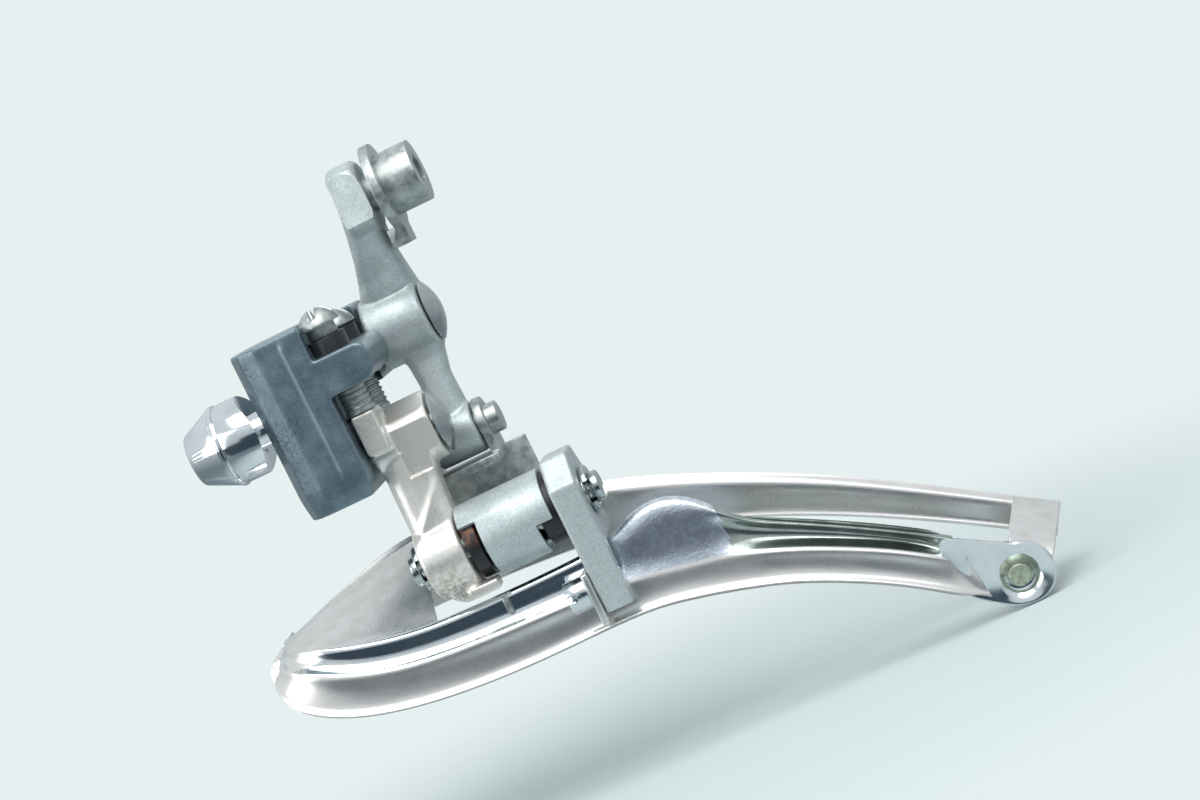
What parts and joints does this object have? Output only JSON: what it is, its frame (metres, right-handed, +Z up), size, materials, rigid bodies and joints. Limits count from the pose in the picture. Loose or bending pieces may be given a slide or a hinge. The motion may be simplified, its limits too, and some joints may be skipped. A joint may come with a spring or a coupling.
{
  "type": "front derailleur",
  "caption": "Braze-on bicycle front derailleur: four-bar linkage with return spring, cable arm, limit screws and a curved plated steel chain cage.",
  "frame": {"origin": "where the clamp bolt's axis meets the apex of the mount body's convex saddle", "axes": "+X forward along the pivot axes and the clamp bolt, +Y inboard towards the seat tube, +Z up"},
  "size_m": [0.1035, 0.0244, 0.0903],
  "materials": {
    "body_paint": "metallic blue-grey enamel",
    "silver_paint": "satin silver paint",
    "link_aluminium": "worn polished aluminium",
    "chrome": "chrome plate",
    "zinc": "zinc plated steel",
    "steel": "bare steel",
    "nylon": "black nylon",
    "rivet_brass": "tarnished brass"
  },
  "bodies": {
    "mount": {"mount_body": "body_paint", "inner_fixed_pin": "steel", "outer_fixed_pin": "steel", "limit_screw_sleeves": "nylon"},
    "clamp_washers": {"radius_washer": "chrome", "clamp_washer": "chrome"},
    "clamp_bolt": {"clamp_bolt": "chrome"},
    "low_screw": {"limit_screw_low": "zinc"},
    "high_screw": {"limit_screw_high": "zinc"},
    "inner_link": {"inner_link": "link_aluminium"},
    "outer_link": {"outer_link": "silver_paint"},
    "anchor_washer": {"cable_washer": "zinc"},
    "anchor_bolt": {"cable_bolt": "zinc"},
    "cage": {"inner_moving_pin": "steel", "outer_moving_pin": "steel", "pivot_clips": "steel", "spring_barrel": "silver_paint", "front_spring_seat": "nylon", "rear_spring_seat": "nylon", "return_spring": "steel", "rear_flange": "silver_paint", "flange_screw": "chrome", "inner_cage_plate": "chrome", "outer_cage_plate": "chrome", "tail_rivet": "rivet_brass", "cage_bracket": "chrome", "bracket_rivets": "steel"}
  },
  "joints": [
    {"name": "inner_swing", "type": "hinge", "parent": "mount", "child": "inner_link", "pos_m": [-0.015, -0.002, -0.0091], "axis": [-1, 0, 0], "range_deg": [0, 42], "stiffness_Nm_per_rad": 0.2, "springref_deg": -28.65},
    {"name": "outer_swing", "type": "hinge", "parent": "mount", "child": "outer_link", "pos_m": [-0.02, -0.012, 0.004], "axis": [-1, 0, 0], "range_deg": [0, 42]},
    {"name": "cage_swing", "type": "hinge", "parent": "inner_link", "child": "cage", "pos_m": [-0.014, 0, -0.0255], "axis": [-1, 0, 0], "range_deg": [-42, 0]},
    {"name": "low_screw_turn", "type": "hinge", "parent": "mount", "child": "low_screw", "pos_m": [-0.013, 0.0025, 0.004], "axis": [0, 0, 1], "range_deg": [-360, 360]},
    {"name": "high_screw_turn", "type": "hinge", "parent": "mount", "child": "high_screw", "pos_m": [-0.013, -0.0065, 0.002], "axis": [0, 0, 1], "range_deg": [-360, 360]},
    {"name": "clamp_open", "type": "slide", "parent": "mount", "child": "clamp_washers", "axis": [1, 0, 0], "range_m": [0, 0.006]},
    {"name": "clamp_bolt_turn", "type": "hinge", "parent": "clamp_washers", "child": "clamp_bolt", "pos_m": [0.008, 0, 0], "axis": [1, 0, 0], "continuous": true},
    {"name": "anchor_open", "type": "slide", "parent": "outer_link", "child": "anchor_washer", "axis": [-1, 0, 0], "range_m": [0, 0.002]},
    {"name": "anchor_bolt_turn", "type": "hinge", "parent": "anchor_washer", "child": "anchor_bolt", "pos_m": [-0.023, -0.007, 0.0214], "axis": [1, 0, 0], "continuous": true}
  ],
  "couplings": [
    {"joint": "outer_swing", "follows": "inner_swing", "ratio": 1},
    {"joint": "cage_swing", "follows": "inner_swing", "ratio": -1}
  ]
}
